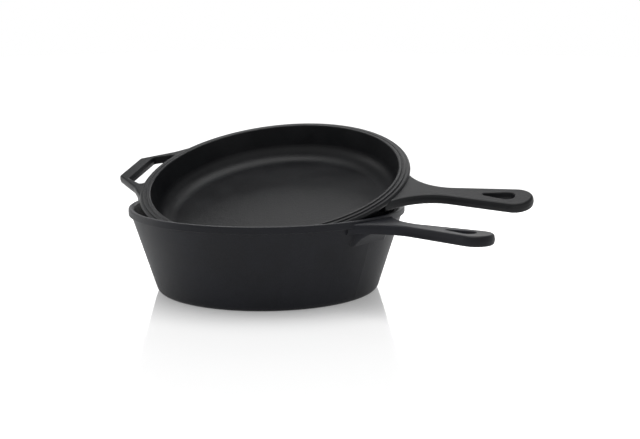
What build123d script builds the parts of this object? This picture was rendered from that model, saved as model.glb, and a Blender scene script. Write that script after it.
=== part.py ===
from build123d import *
import os
from math import asin, atan, cos, degrees, hypot, radians, sin, sqrt, tan

# Cast iron cooking set of two castings: a deep pot, and a shallow pan that is also its lid.
# The pan leans in the mouth of the pot with its cooking side up and its front edge inside.
# Millimetres. The origin is on the pot's axis at its base, with +Z up and +X along the
# pot's long handle.

os.makedirs("parts", exist_ok=True)

# Pot body
rim_radius = 132.5
rim_height = 81.5
rim_band = 6.8
rim_proud = 2.5
rim_bevel = 1.3
base_radius = 106.1
base_corner = 7.0
wall_across = 3.9
pot_floor = 5.0
floor_corner = 16.0

# Pan that covers the pot
flange_setback = 1.0
flange_thickness = 4.8
flange_ridge = 0.3
flange_bevel = 1.1
pan_depth = 35.1
pan_cove = 17.0
pan_wall_draft = 7.5
pan_wall_across = 4.2
pan_floor = 4.5

# Raised ring of the pan, which drops into the pot's mouth when the pan is turned over
ring_clearance = 0.7
ring_width = 6.6
ring_height = 1.7
ring_crest = 2.9
ring_bevel = 0.6
bead_height = 1.0
bead_bevel = 0.4
groove_width = 1.5
groove_depth = 0.4

# Long handles, the same pattern on both castings, measured from the pot's rim
handle_length = 121.0
handle_thickness = 9.5
pot_handle_drop = 2.5
pan_handle_drop = 2.0
handle_draft = 9.0
handle_edge = 2.6
opening_edge = 1.2
neck_length = 45.5
neck_half_width = 10.2
head_half_width = 16.6
root_half_width = 34.0
hang_hole_setback = 23.5
hang_hole_radius = 6.2
hang_hole_length = 20.5
hang_hole_tip_radius = 1.6

# Rib under the root of each long handle
gusset_reach = 26.0
gusset_half_width = 26.0
gusset_edge = 4.0
pot_gusset_height = 12.0
pan_gusset_height = 7.0

# Helper handles, the same pattern on both castings, measured from the pot's rim
helper_length = 31.0
helper_bar_half = 21.5
helper_bar_width = 14.3
helper_thickness = 8.5
helper_drop = 1.5
shoulder_length = 1.5
helper_shoulder_half = 43.0
helper_spread = 68.0
helper_flare = 26.0
helper_corner = 5.0
helper_edge = 2.2
slot_half = 36.0
slot_gap = 0.8
slot_rounding = 3.0

# How the pan lies on the pot
lean_angle = 18.2
lean_azimuth = -69.2
pan_rise = 25.8
pan_side_shift = 4.2
pan_handle_azimuth = 16.9
seat_clearance = 0.3

# The pot's wall is straight, and its inside follows its outside
wall_lean = atan((rim_radius - rim_proud - base_radius) / (rim_height - rim_band))
wall_width = wall_across / cos(wall_lean)
pot_mouth = base_radius + rim_height * tan(wall_lean) - wall_width
pan_rim_radius = rim_radius - flange_setback
ring_radius = pot_mouth - ring_clearance
pan_mouth = ring_radius - ring_width

# The handles start from the pot's rim
handle_reach = rim_radius + handle_length
neck_distance = rim_radius + neck_length
hang_hole_centre = handle_reach - hang_hole_setback
hang_hole_tip = hang_hole_centre - hang_hole_length
helper_reach = rim_radius + helper_length
helper_shoulder = rim_radius + shoulder_length


def ray(distance, angle):
    """Point at a distance and an angle in degrees from the casting's axis."""
    return (distance * cos(radians(angle)), distance * sin(radians(angle)))


def upright(place):
    """Plane through a casting's axis and its long handle, with its own Y up the axis."""
    return Plane(origin=place.origin, x_dir=place.x_dir, z_dir=-place.y_dir)


def flat_ends(blank, upwards):
    """Lower and upper flat face of a handle blank."""
    faces = blank.faces().filter_by(upwards).sort_by(upwards)
    return [faces[0], faces[-1]]


def handle_blank(outline, place, level, thickness, edge, rim):
    """Casting with its parting line half way up, drafted towards both faces and rounded."""
    parting = place.offset(level - thickness / 2)
    upwards = Axis(place.origin, place.z_dir)
    with BuildPart() as blank:
        with BuildSketch(parting):
            add(outline)
        extrude(amount=thickness / 2, taper=handle_draft)
        with BuildSketch(parting):
            add(outline)
        extrude(amount=-thickness / 2, taper=handle_draft)
        openings = []
        for face in flat_ends(blank, upwards):
            for opening in face.inner_wires():
                openings.extend(opening.edges())
        fillet(openings, radius=opening_edge)
        outside = []
        for face in flat_ends(blank, upwards):
            for face_edge in face.outer_wire().edges():
                middle = place.to_local_coords(face_edge.center())
                if hypot(middle.X, middle.Y) > rim - wall_width:
                    outside.append(face_edge)
        fillet(outside, radius=edge)
    return blank.part


def long_handle_outline(rim):
    """Flared root, narrow neck, round head and a teardrop hole to hang the casting by."""
    root = (sqrt((rim - rim_bevel) ** 2 - root_half_width**2), root_half_width)
    inside = pan_mouth - 3 * pan_wall_across
    neck = (neck_distance, neck_half_width)
    head_centre = handle_reach - head_half_width
    neck_to_head = hypot(head_centre - neck_distance, neck_half_width)
    widening = degrees(asin(head_half_width / neck_to_head) - asin(neck_half_width / neck_to_head))
    head = Vector(head_centre, 0) + ray(head_half_width, 90 + widening)
    hole_turn = 90 + degrees(asin((hang_hole_radius - hang_hole_tip_radius) / hang_hole_length))
    wide = Vector(hang_hole_centre, 0) + ray(hang_hole_radius, hole_turn)
    narrow = Vector(hang_hole_tip, 0) + ray(hang_hole_tip_radius, hole_turn)
    with BuildSketch(Plane.XY) as outline:
        with BuildLine():
            Line((inside, 0), (inside, root_half_width))
            Line((inside, root_half_width), root)
            TangentArc(neck, root, tangent=ray(-1, widening))
            Line(neck, head)
            ThreePointArc(head, Vector(head_centre, 0) + ray(head_half_width, 45), (handle_reach, 0))
            mirror(about=Plane.XZ)
        make_face()
        with BuildLine():
            Line(narrow, wide)
            ThreePointArc(wide, (hang_hole_centre + hang_hole_radius, 0), (wide.X, -wide.Y))
            Line((wide.X, -wide.Y), (narrow.X, -narrow.Y))
            ThreePointArc((narrow.X, -narrow.Y), (hang_hole_tip - hang_hole_tip_radius, 0), narrow)
        make_face(mode=Mode.SUBTRACT)
    return outline.sketch


def helper_outline(rim):
    """Straight grip bar on two slanted arms, round a finger slot beside the rim."""
    root = sqrt((rim - rim_bevel) ** 2 - helper_spread**2)
    inside = root - 3 * wall_across
    slot_inner = rim + slot_gap
    slot_outer = helper_reach - helper_bar_width
    slot_end = sqrt(slot_inner**2 - slot_half**2)
    slot_corner = helper_bar_half + helper_bar_width / 4
    with BuildSketch(Plane.XY) as slot:
        with BuildLine():
            Polyline(
                (slot_end, slot_half),
                (slot_outer, slot_corner),
                (slot_outer, -slot_corner),
                (slot_end, -slot_half),
            )
            ThreePointArc((slot_end, -slot_half), (slot_inner, 0), (slot_end, slot_half))
        make_face()
        fillet(slot.vertices(), radius=slot_rounding)
    with BuildSketch(Plane.XY) as outline:
        with BuildLine():
            FilletPolyline(
                (inside, helper_spread),
                (root, helper_spread),
                (helper_shoulder, helper_shoulder_half),
                (helper_reach, helper_bar_half),
                (helper_reach, -helper_bar_half),
                (helper_shoulder, -helper_shoulder_half),
                (root, -helper_spread),
                (inside, -helper_spread),
                radius=[0, helper_flare, helper_corner, helper_corner, helper_flare, 0],
            )
            Line((inside, -helper_spread), (inside, helper_spread))
        make_face()
        add(slot.sketch, mode=Mode.SUBTRACT)
    return outline.sketch


def gusset_blank(place, top, height, rim, wall, draft):
    """Hollow-fronted rib between the underside of a long handle and the wall below it."""
    foot = (wall - height * tan(draft), top - height)
    tip = (rim + gusset_reach, top)
    hollow = (foot[0] + (tip[0] - foot[0]) / 4, top - height / 4)
    inside = foot[0] - wall_across
    narrow = neck_half_width - handle_edge
    with BuildPart() as rib:
        with BuildSketch(upright(place)):
            with BuildLine():
                ThreePointArc(foot, hollow, tip)
                Polyline(tip, (tip[0], top + gusset_edge), (inside, top + gusset_edge))
                Polyline((inside, top + gusset_edge), (inside, top - height), foot)
            make_face()
        extrude(amount=gusset_half_width, both=True)
        with BuildSketch(place.offset(top + gusset_edge)):
            with BuildLine():
                Polyline(
                    (inside, gusset_half_width),
                    (tip[0], narrow),
                    (tip[0], -narrow),
                    (inside, -gusset_half_width),
                    close=True,
                )
            make_face()
        extrude(amount=-height - gusset_edge, mode=Mode.INTERSECT)
        hollow_face = rib.faces().filter_by(GeomType.CYLINDER)[0]
        sides = [
            side for side in hollow_face.edges()
            if abs(place.to_local_coords(side.center()).Y) > narrow / 2
        ]
        fillet(sides, radius=gusset_edge)
    return rib.part


def pan_plane(shift):
    """Plane of the pan's ring, moved by a shift towards the low side of the lean."""
    low = Vector(ray(1, lean_azimuth))
    across = Vector(ray(1, lean_azimuth + 90))
    normal = low * sin(radians(lean_angle)) + Vector(0, 0, cos(radians(lean_angle)))
    along = Vector(ray(1, pan_handle_azimuth))
    along = along - Vector(0, 0, along.dot(normal) / normal.Z)
    flange_centre = low * shift + across * pan_side_shift + Vector(0, 0, rim_height + pan_rise)
    return Plane(origin=flange_centre + normal * ring_height, x_dir=along, z_dir=normal)


def seat_gap(place):
    """Smallest gap between the edges of the pan's flange and the inside of the pot."""
    radius = pan_rim_radius - flange_ridge
    levels = [-ring_height - flange_bevel, flange_bevel - ring_height - flange_thickness]
    gap = pot_mouth
    for level in levels:
        for step in range(0, 360, 2):
            point = place.from_local_coords(Vector(*ray(radius, step), level))
            if point.Z < rim_height:
                wall = pot_mouth - (rim_height - point.Z) * tan(wall_lean)
                reach = (wall - hypot(point.X, point.Y)) * cos(wall_lean)
                gap = min(gap, reach)
    return gap


# The pan moves towards the low side until its flange is one clearance from the pot's wall
back, front = -rim_radius / 4, rim_radius / 4
for halving in range(30):
    shift = (back + front) / 2
    if seat_gap(pan_plane(shift)) > seat_clearance:
        back = shift
    else:
        front = shift
pan_place = pan_plane(back)

# Pot: one casting with a band round its rim and both handles
pot_place = Plane.XY
pot_level = rim_height - pot_handle_drop
pot_axis = Axis(pot_place.origin, pot_place.z_dir)
inner_floor = base_radius + pot_floor * tan(wall_lean) - wall_width
pot_handle = handle_blank(
    long_handle_outline(rim_radius), pot_place, pot_level, handle_thickness, handle_edge, rim_radius
)
pot_helper = handle_blank(
    helper_outline(rim_radius), pot_place, rim_height - helper_drop, helper_thickness, helper_edge,
    rim_radius,
)
band_foot = rim_height - rim_band
under_handle = pot_level - handle_thickness
pot_rib = gusset_blank(
    pot_place,
    under_handle,
    pot_gusset_height,
    rim_radius,
    base_radius + under_handle * tan(wall_lean),
    wall_lean,
)
with BuildPart() as pot:
    with BuildSketch(upright(pot_place)):
        with BuildLine():
            FilletPolyline(
                (0, 0),
                (base_radius, 0),
                (rim_radius - rim_proud, band_foot),
                (rim_radius, band_foot + rim_bevel / 2),
                (rim_radius, rim_height - rim_bevel),
                (rim_radius - 0.3 * rim_bevel, rim_height - 0.3 * rim_bevel),
                (rim_radius - rim_bevel, rim_height),
                (0, rim_height),
                radius=[base_corner, 0, 0, 0, 0, 0],
            )
            Line((0, rim_height), (0, 0))
        make_face()
    revolve(axis=pot_axis)
    add(pot_handle)
    add(pot_helper.rotate(pot_axis, 180))
    add(pot_rib)
    with BuildSketch(upright(pot_place)):
        with BuildLine():
            FilletPolyline(
                (0, pot_floor),
                (inner_floor, pot_floor),
                (pot_mouth - rim_bevel * tan(wall_lean), rim_height - rim_bevel),
                (pot_mouth + 0.3 * rim_bevel, rim_height - 0.3 * rim_bevel),
                (pot_mouth + rim_bevel, rim_height),
                (pot_mouth + rim_bevel, rim_height + rim_band),
                (0, rim_height + rim_band),
                radius=[floor_corner, 0, 0, 0, 0],
            )
            Line((0, rim_height + rim_band), (0, pot_floor))
        make_face()
    revolve(axis=pot_axis, mode=Mode.SUBTRACT)
pot.part.label = "pot"
export_step(pot.part, "parts/pot.step")

# Skillet lid: one casting with a flange, a raised ring and both handles
draft = radians(pan_wall_draft)
pan_axis = Axis(pan_place.origin, pan_place.z_dir)
pan_level = -ring_height - pan_handle_drop
flange_foot = -ring_height - flange_thickness
flange_middle = -ring_height - flange_thickness / 2
flange_edge = pan_rim_radius - flange_ridge
pan_wall = pan_mouth + pan_wall_across / cos(draft)
pan_bottom = -pan_depth - pan_floor
pan_corner = pan_cove + pan_wall_across
bead_top = bead_height - ring_height
groove_floor = bead_top - groove_depth
crest_edge = pan_mouth + ring_crest
bead_inner = crest_edge + groove_width
pan_handle = handle_blank(
    long_handle_outline(pan_rim_radius), pan_place, pan_level, handle_thickness, handle_edge,
    pan_rim_radius,
)
pan_helper = handle_blank(
    helper_outline(pan_rim_radius), pan_place, -ring_height - helper_drop, helper_thickness,
    helper_edge, pan_rim_radius,
)
under_pan_handle = pan_level - handle_thickness
pan_rib = gusset_blank(
    pan_place,
    under_pan_handle,
    pan_gusset_height,
    pan_rim_radius,
    pan_wall + under_pan_handle * tan(draft),
    draft,
)
with BuildPart() as skillet_lid:
    with BuildSketch(upright(pan_place)):
        with BuildLine():
            FilletPolyline(
                (0, pan_bottom),
                (pan_wall + pan_bottom * tan(draft), pan_bottom),
                (pan_wall + flange_foot * tan(draft), flange_foot),
                (flange_edge - flange_bevel, flange_foot),
                (flange_edge, flange_foot + flange_bevel),
                (pan_rim_radius, flange_middle),
                (flange_edge, -ring_height - flange_bevel),
                (flange_edge - flange_bevel, -ring_height),
                (ring_radius, -ring_height),
                (ring_radius, bead_top - bead_bevel),
                (ring_radius - bead_bevel, bead_top),
                (bead_inner, bead_top),
                (bead_inner - bead_bevel, groove_floor),
                (crest_edge + bead_bevel, groove_floor),
                (crest_edge, -ring_bevel),
                (crest_edge - ring_bevel, 0),
                (0, 0),
                radius=[pan_corner, 0, 0, 0, 0, 0, 0, 0, 0, 0, 0, 0, 0, 0, 0],
            )
            Line((0, 0), (0, pan_bottom))
        make_face()
    revolve(axis=pan_axis)
    add(pan_handle)
    add(pan_helper.rotate(pan_axis, 180))
    add(pan_rib)
    with BuildSketch(upright(pan_place)):
        with BuildLine():
            FilletPolyline(
                (0, -pan_depth),
                (pan_mouth - pan_depth * tan(draft), -pan_depth),
                (pan_mouth - ring_bevel * tan(draft), -ring_bevel),
                (pan_mouth + ring_bevel, 0),
                (pan_mouth + ring_bevel, rim_band),
                (0, rim_band),
                radius=[pan_cove, 0, 0, 0],
            )
            Line((0, rim_band), (0, -pan_depth))
        make_face()
    revolve(axis=pan_axis, mode=Mode.SUBTRACT)
skillet_lid.part.label = "skillet_lid"
export_step(skillet_lid.part, "parts/skillet_lid.step")
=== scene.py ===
import math

import bpy
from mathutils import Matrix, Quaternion, Vector

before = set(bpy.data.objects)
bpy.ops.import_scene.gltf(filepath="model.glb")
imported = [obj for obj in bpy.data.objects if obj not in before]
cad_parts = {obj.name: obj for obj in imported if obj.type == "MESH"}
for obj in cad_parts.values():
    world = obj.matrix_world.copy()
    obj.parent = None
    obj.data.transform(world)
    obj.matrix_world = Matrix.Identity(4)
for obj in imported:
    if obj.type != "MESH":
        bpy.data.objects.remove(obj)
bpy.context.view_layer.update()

# Camera
# Stands a metre and more from the pot and a hand's breadth above the lid, and looks slightly
# down across the set with both long handles to the right.
view_place = (0.7751, -0.8446, 0.2592)
looking = Vector((-0.6338, 0.7553, -0.1666))
head_tilt = math.radians(-0.33)
bpy.context.scene.view_settings.view_transform = "Standard"
view_data = bpy.data.cameras.new("view")
view_data.sensor_width = 36.0
view_data.lens = 67.5
view = bpy.data.objects.new("view", view_data)
bpy.context.scene.collection.objects.link(view)
view.location = view_place
level_view = looking.to_track_quat("-Z", "Y")
view.rotation_euler = (level_view @ Quaternion((0, 0, 1), head_tilt)).to_euler()
bpy.context.scene.camera = view

# Pot
# The deep pot is one sand casting with both of its handles. It is seasoned with baked oil,
# which leaves the iron matte black over the fine grain of the mould.
pot_black = (0.0024, 0.0028, 0.0052, 1)
pot_grey = (0.0055, 0.0062, 0.0098, 1)
pot_sheen = 0.5
# Colour of the lighter edges: partly worn iron, partly a painted highlight along the rims and
# other edges.
worn_edge_and_painted_highlight = (0.02, 0.02, 0.022, 1)
edge_width = 0.0012
edge_begins, edge_full = 0.01, 0.14
oil_begins, oil_full = 0.35, 0.7
sand_share = 0.6
pebble_share = 0.7
wear_and_highlight_between_grains = 0.35
wear_and_highlight_on_grains = 0.5
cloudiness = 0.16
edge_polish = 0.1


class Socket:
    """An output socket whose sums and products add Math nodes to its material."""

    def __init__(self, finish, output):
        self.finish = finish
        self.output = output

    def math(self, operation, *values):
        settings = {"operation": operation}
        return self.finish.node("ShaderNodeMath", settings, dict(enumerate(values)))

    def __add__(self, other):
        return self.math("ADD", self, other)

    __radd__ = __add__

    def __sub__(self, other):
        return self.math("SUBTRACT", self, other)

    def __rsub__(self, other):
        return self.math("SUBTRACT", other, self)

    def __mul__(self, other):
        return self.math("MULTIPLY", self, other)

    __rmul__ = __mul__


class Finish:
    """A material or a world under construction, with one method that makes any of its nodes."""

    def __init__(self, name, kept_in=bpy.data.materials):
        self.made = kept_in.new(name)
        self.made.use_nodes = True
        self.tree = self.made.node_tree
        self.tree.nodes.clear()

    def node(self, kind, settings=None, inputs=None, output=0):
        """Any node: its settings come first, then the values or links of its sockets."""
        made = self.tree.nodes.new(kind)
        for name, value in (settings or {}).items():
            setattr(made, name, value)
        for name, value in (inputs or {}).items():
            if isinstance(value, Socket):
                self.tree.links.new(value.output, made.inputs[name])
            else:
                made.inputs[name].default_value = value
        return Socket(self, made.outputs[output]) if made.outputs else None

    def blend(self, share, first, second):
        """Colour that goes from the first to the second as the share rises."""
        settings = {"data_type": "RGBA"}
        return self.node("ShaderNodeMix", settings, {0: share, 6: first, 7: second}, output=2)

    def ramp(self, share, low, high):
        """Share remapped to run from 0 at a low value to 1 at a high one, smoothly."""
        settings = {"interpolation_type": "SMOOTHSTEP"}
        inputs = {"Value": share, "From Min": low, "From Max": high}
        return self.node("ShaderNodeMapRange", settings, inputs)


def seasoned_iron(name, baked_black, dry_grey, sheen_roughness):
    """Cast iron under baked oil: pebbled by the sand, cloudy where the oil pooled."""
    iron = Finish(name)
    place = iron.node("ShaderNodeTexCoord", output="Object")
    sand = iron.node(
        "ShaderNodeTexNoise", None,
        {"Vector": place, "Scale": 900.0, "Detail": 3.0, "Roughness": 0.6},
    )
    pebbles = iron.node(
        "ShaderNodeTexVoronoi", {"feature": "SMOOTH_F1"},
        {"Vector": place, "Scale": 620.0, "Smoothness": 0.6},
    )
    clouds = iron.node(
        "ShaderNodeTexNoise", None,
        {"Vector": place, "Scale": 26.0, "Detail": 5.0, "Roughness": 0.55},
    )
    rounded = iron.node("ShaderNodeBevel", {"samples": 4}, {"Radius": edge_width})
    flat = iron.node("ShaderNodeNewGeometry", output="Normal")
    facing = iron.node(
        "ShaderNodeVectorMath", {"operation": "DOT_PRODUCT"}, {0: rounded, 1: flat}, output="Value"
    )
    # Every edge the bevel finds is lightened in colour, more on the grains: partly wear, partly a
    # painted highlight.
    edge = iron.ramp(1 - facing, edge_begins, edge_full)
    wear_and_painted_highlight = edge * (wear_and_highlight_between_grains + wear_and_highlight_on_grains * sand)
    tone = iron.blend(iron.ramp(clouds, oil_begins, oil_full), baked_black, dry_grey)
    relief = iron.node(
        "ShaderNodeBump", None,
        {
            "Strength": 0.4,
            "Distance": 0.00025,
            "Height": sand * sand_share + pebbles * pebble_share,
        },
    )
    smoothest = sheen_roughness - cloudiness / 2
    body = iron.node(
        "ShaderNodeBsdfPrincipled", None,
        {
            "Base Color": iron.blend(wear_and_painted_highlight, tone, worn_edge_and_painted_highlight),
            "Roughness": clouds * cloudiness + smoothest - edge * edge_polish,
            "Specular IOR Level": 0.24,
            "Normal": relief,
        },
    )
    iron.node("ShaderNodeOutputMaterial", None, {"Surface": body})
    return iron.made


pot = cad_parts["pot"]
pot_iron = seasoned_iron("pot_iron", pot_black, pot_grey, pot_sheen)
for slot in pot.material_slots:
    slot.material = pot_iron

# Skillet lid
# The shallow pan is the second casting, with the same handles. Its flat flange and raised ring
# close the pot when it is turned over; here it leans in the mouth with its inside up.
lid_black = (0.0026, 0.0029, 0.0038, 1)
lid_grey = (0.006, 0.0064, 0.0075, 1)
lid_sheen = 0.41
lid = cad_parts["skillet_lid"]
lid_iron = seasoned_iron("lid_iron", lid_black, lid_grey, lid_sheen)
for slot in lid.material_slots:
    slot.material = lid_iron

# Floor
# A sheet of white gloss acrylic under the pot, which shows a soft mirror image of it. A glow
# that only the camera and glossy or clear surfaces see keeps the sheet white.
floor_half = 6.0
floor_white = (0.8, 0.8, 0.8, 1)
floor_glow = 0.25
floor_mesh = bpy.data.meshes.new("floor")
corners = [(x * floor_half, y * floor_half, 0) for x, y in ((-1, -1), (1, -1), (1, 1), (-1, 1))]
floor_mesh.from_pydata(corners, [], [(0, 1, 2, 3)])
floor = bpy.data.objects.new("floor", floor_mesh)
bpy.context.scene.collection.objects.link(floor)
acrylic = Finish("white_acrylic")
seen, mirrored, through = (
    acrylic.node("ShaderNodeLightPath", output=f"Is {kind} Ray")
    for kind in ("Camera", "Glossy", "Transmission")
)
gloss_white = acrylic.node(
    "ShaderNodeBsdfPrincipled", None,
    {"Base Color": floor_white, "Roughness": 0.06, "Specular IOR Level": 0.5},
)
glow = acrylic.node(
    "ShaderNodeEmission", None,
    {"Color": (1, 1, 1, 1), "Strength": (seen + mirrored + through) * floor_glow},
)
lit_acrylic = acrylic.node("ShaderNodeAddShader", None, {0: gloss_white, 1: glow})
acrylic.node("ShaderNodeOutputMaterial", None, {"Surface": lit_acrylic})
floor_mesh.materials.append(acrylic.made)

# Light
# A white room whose ceiling is dimmer than its walls, with a broad soft box over the pot and two
# smaller and weaker ones, one behind it and one on its left.
wall_light = 1.0
ceiling_light = 0.3
ceiling_begins, ceiling_full = 0.3, 0.6
room = Finish("white_room", bpy.data.worlds)
bpy.context.scene.world = room.made
direction = room.node("ShaderNodeTexCoord", output="Generated")
climb = room.node("ShaderNodeSeparateXYZ", None, {"Vector": direction}, output="Z")
ceiling = room.ramp(climb, ceiling_begins, ceiling_full)
backdrop = room.node(
    "ShaderNodeBackground", None,
    {"Color": (1, 1, 1, 1), "Strength": wall_light - ceiling * (wall_light - ceiling_light)},
)
room.node("ShaderNodeOutputWorld", None, {"Surface": backdrop})

lit_point = Vector((0, 0, 0.08))


def soft_box(name, place, side, power):
    """Square area lamp at a place, turned towards the middle of the pot's mouth."""
    lamp_data = bpy.data.lights.new(name, "AREA")
    lamp_data.size = side
    lamp_data.energy = power
    lamp = bpy.data.objects.new(name, lamp_data)
    bpy.context.scene.collection.objects.link(lamp)
    lamp.location = place
    lamp.visible_camera = False
    lamp.rotation_euler = (lit_point - Vector(place)).to_track_quat("-Z", "Y").to_euler()


soft_box("overhead_box", (0.0, 0.0, 1.6), side=1.4, power=23.0)
soft_box("back_box", (-0.9, 1.3, 0.75), side=1.2, power=6.5)
soft_box("left_box", (-1.5, -0.7, 0.5), side=0.8, power=3.0)
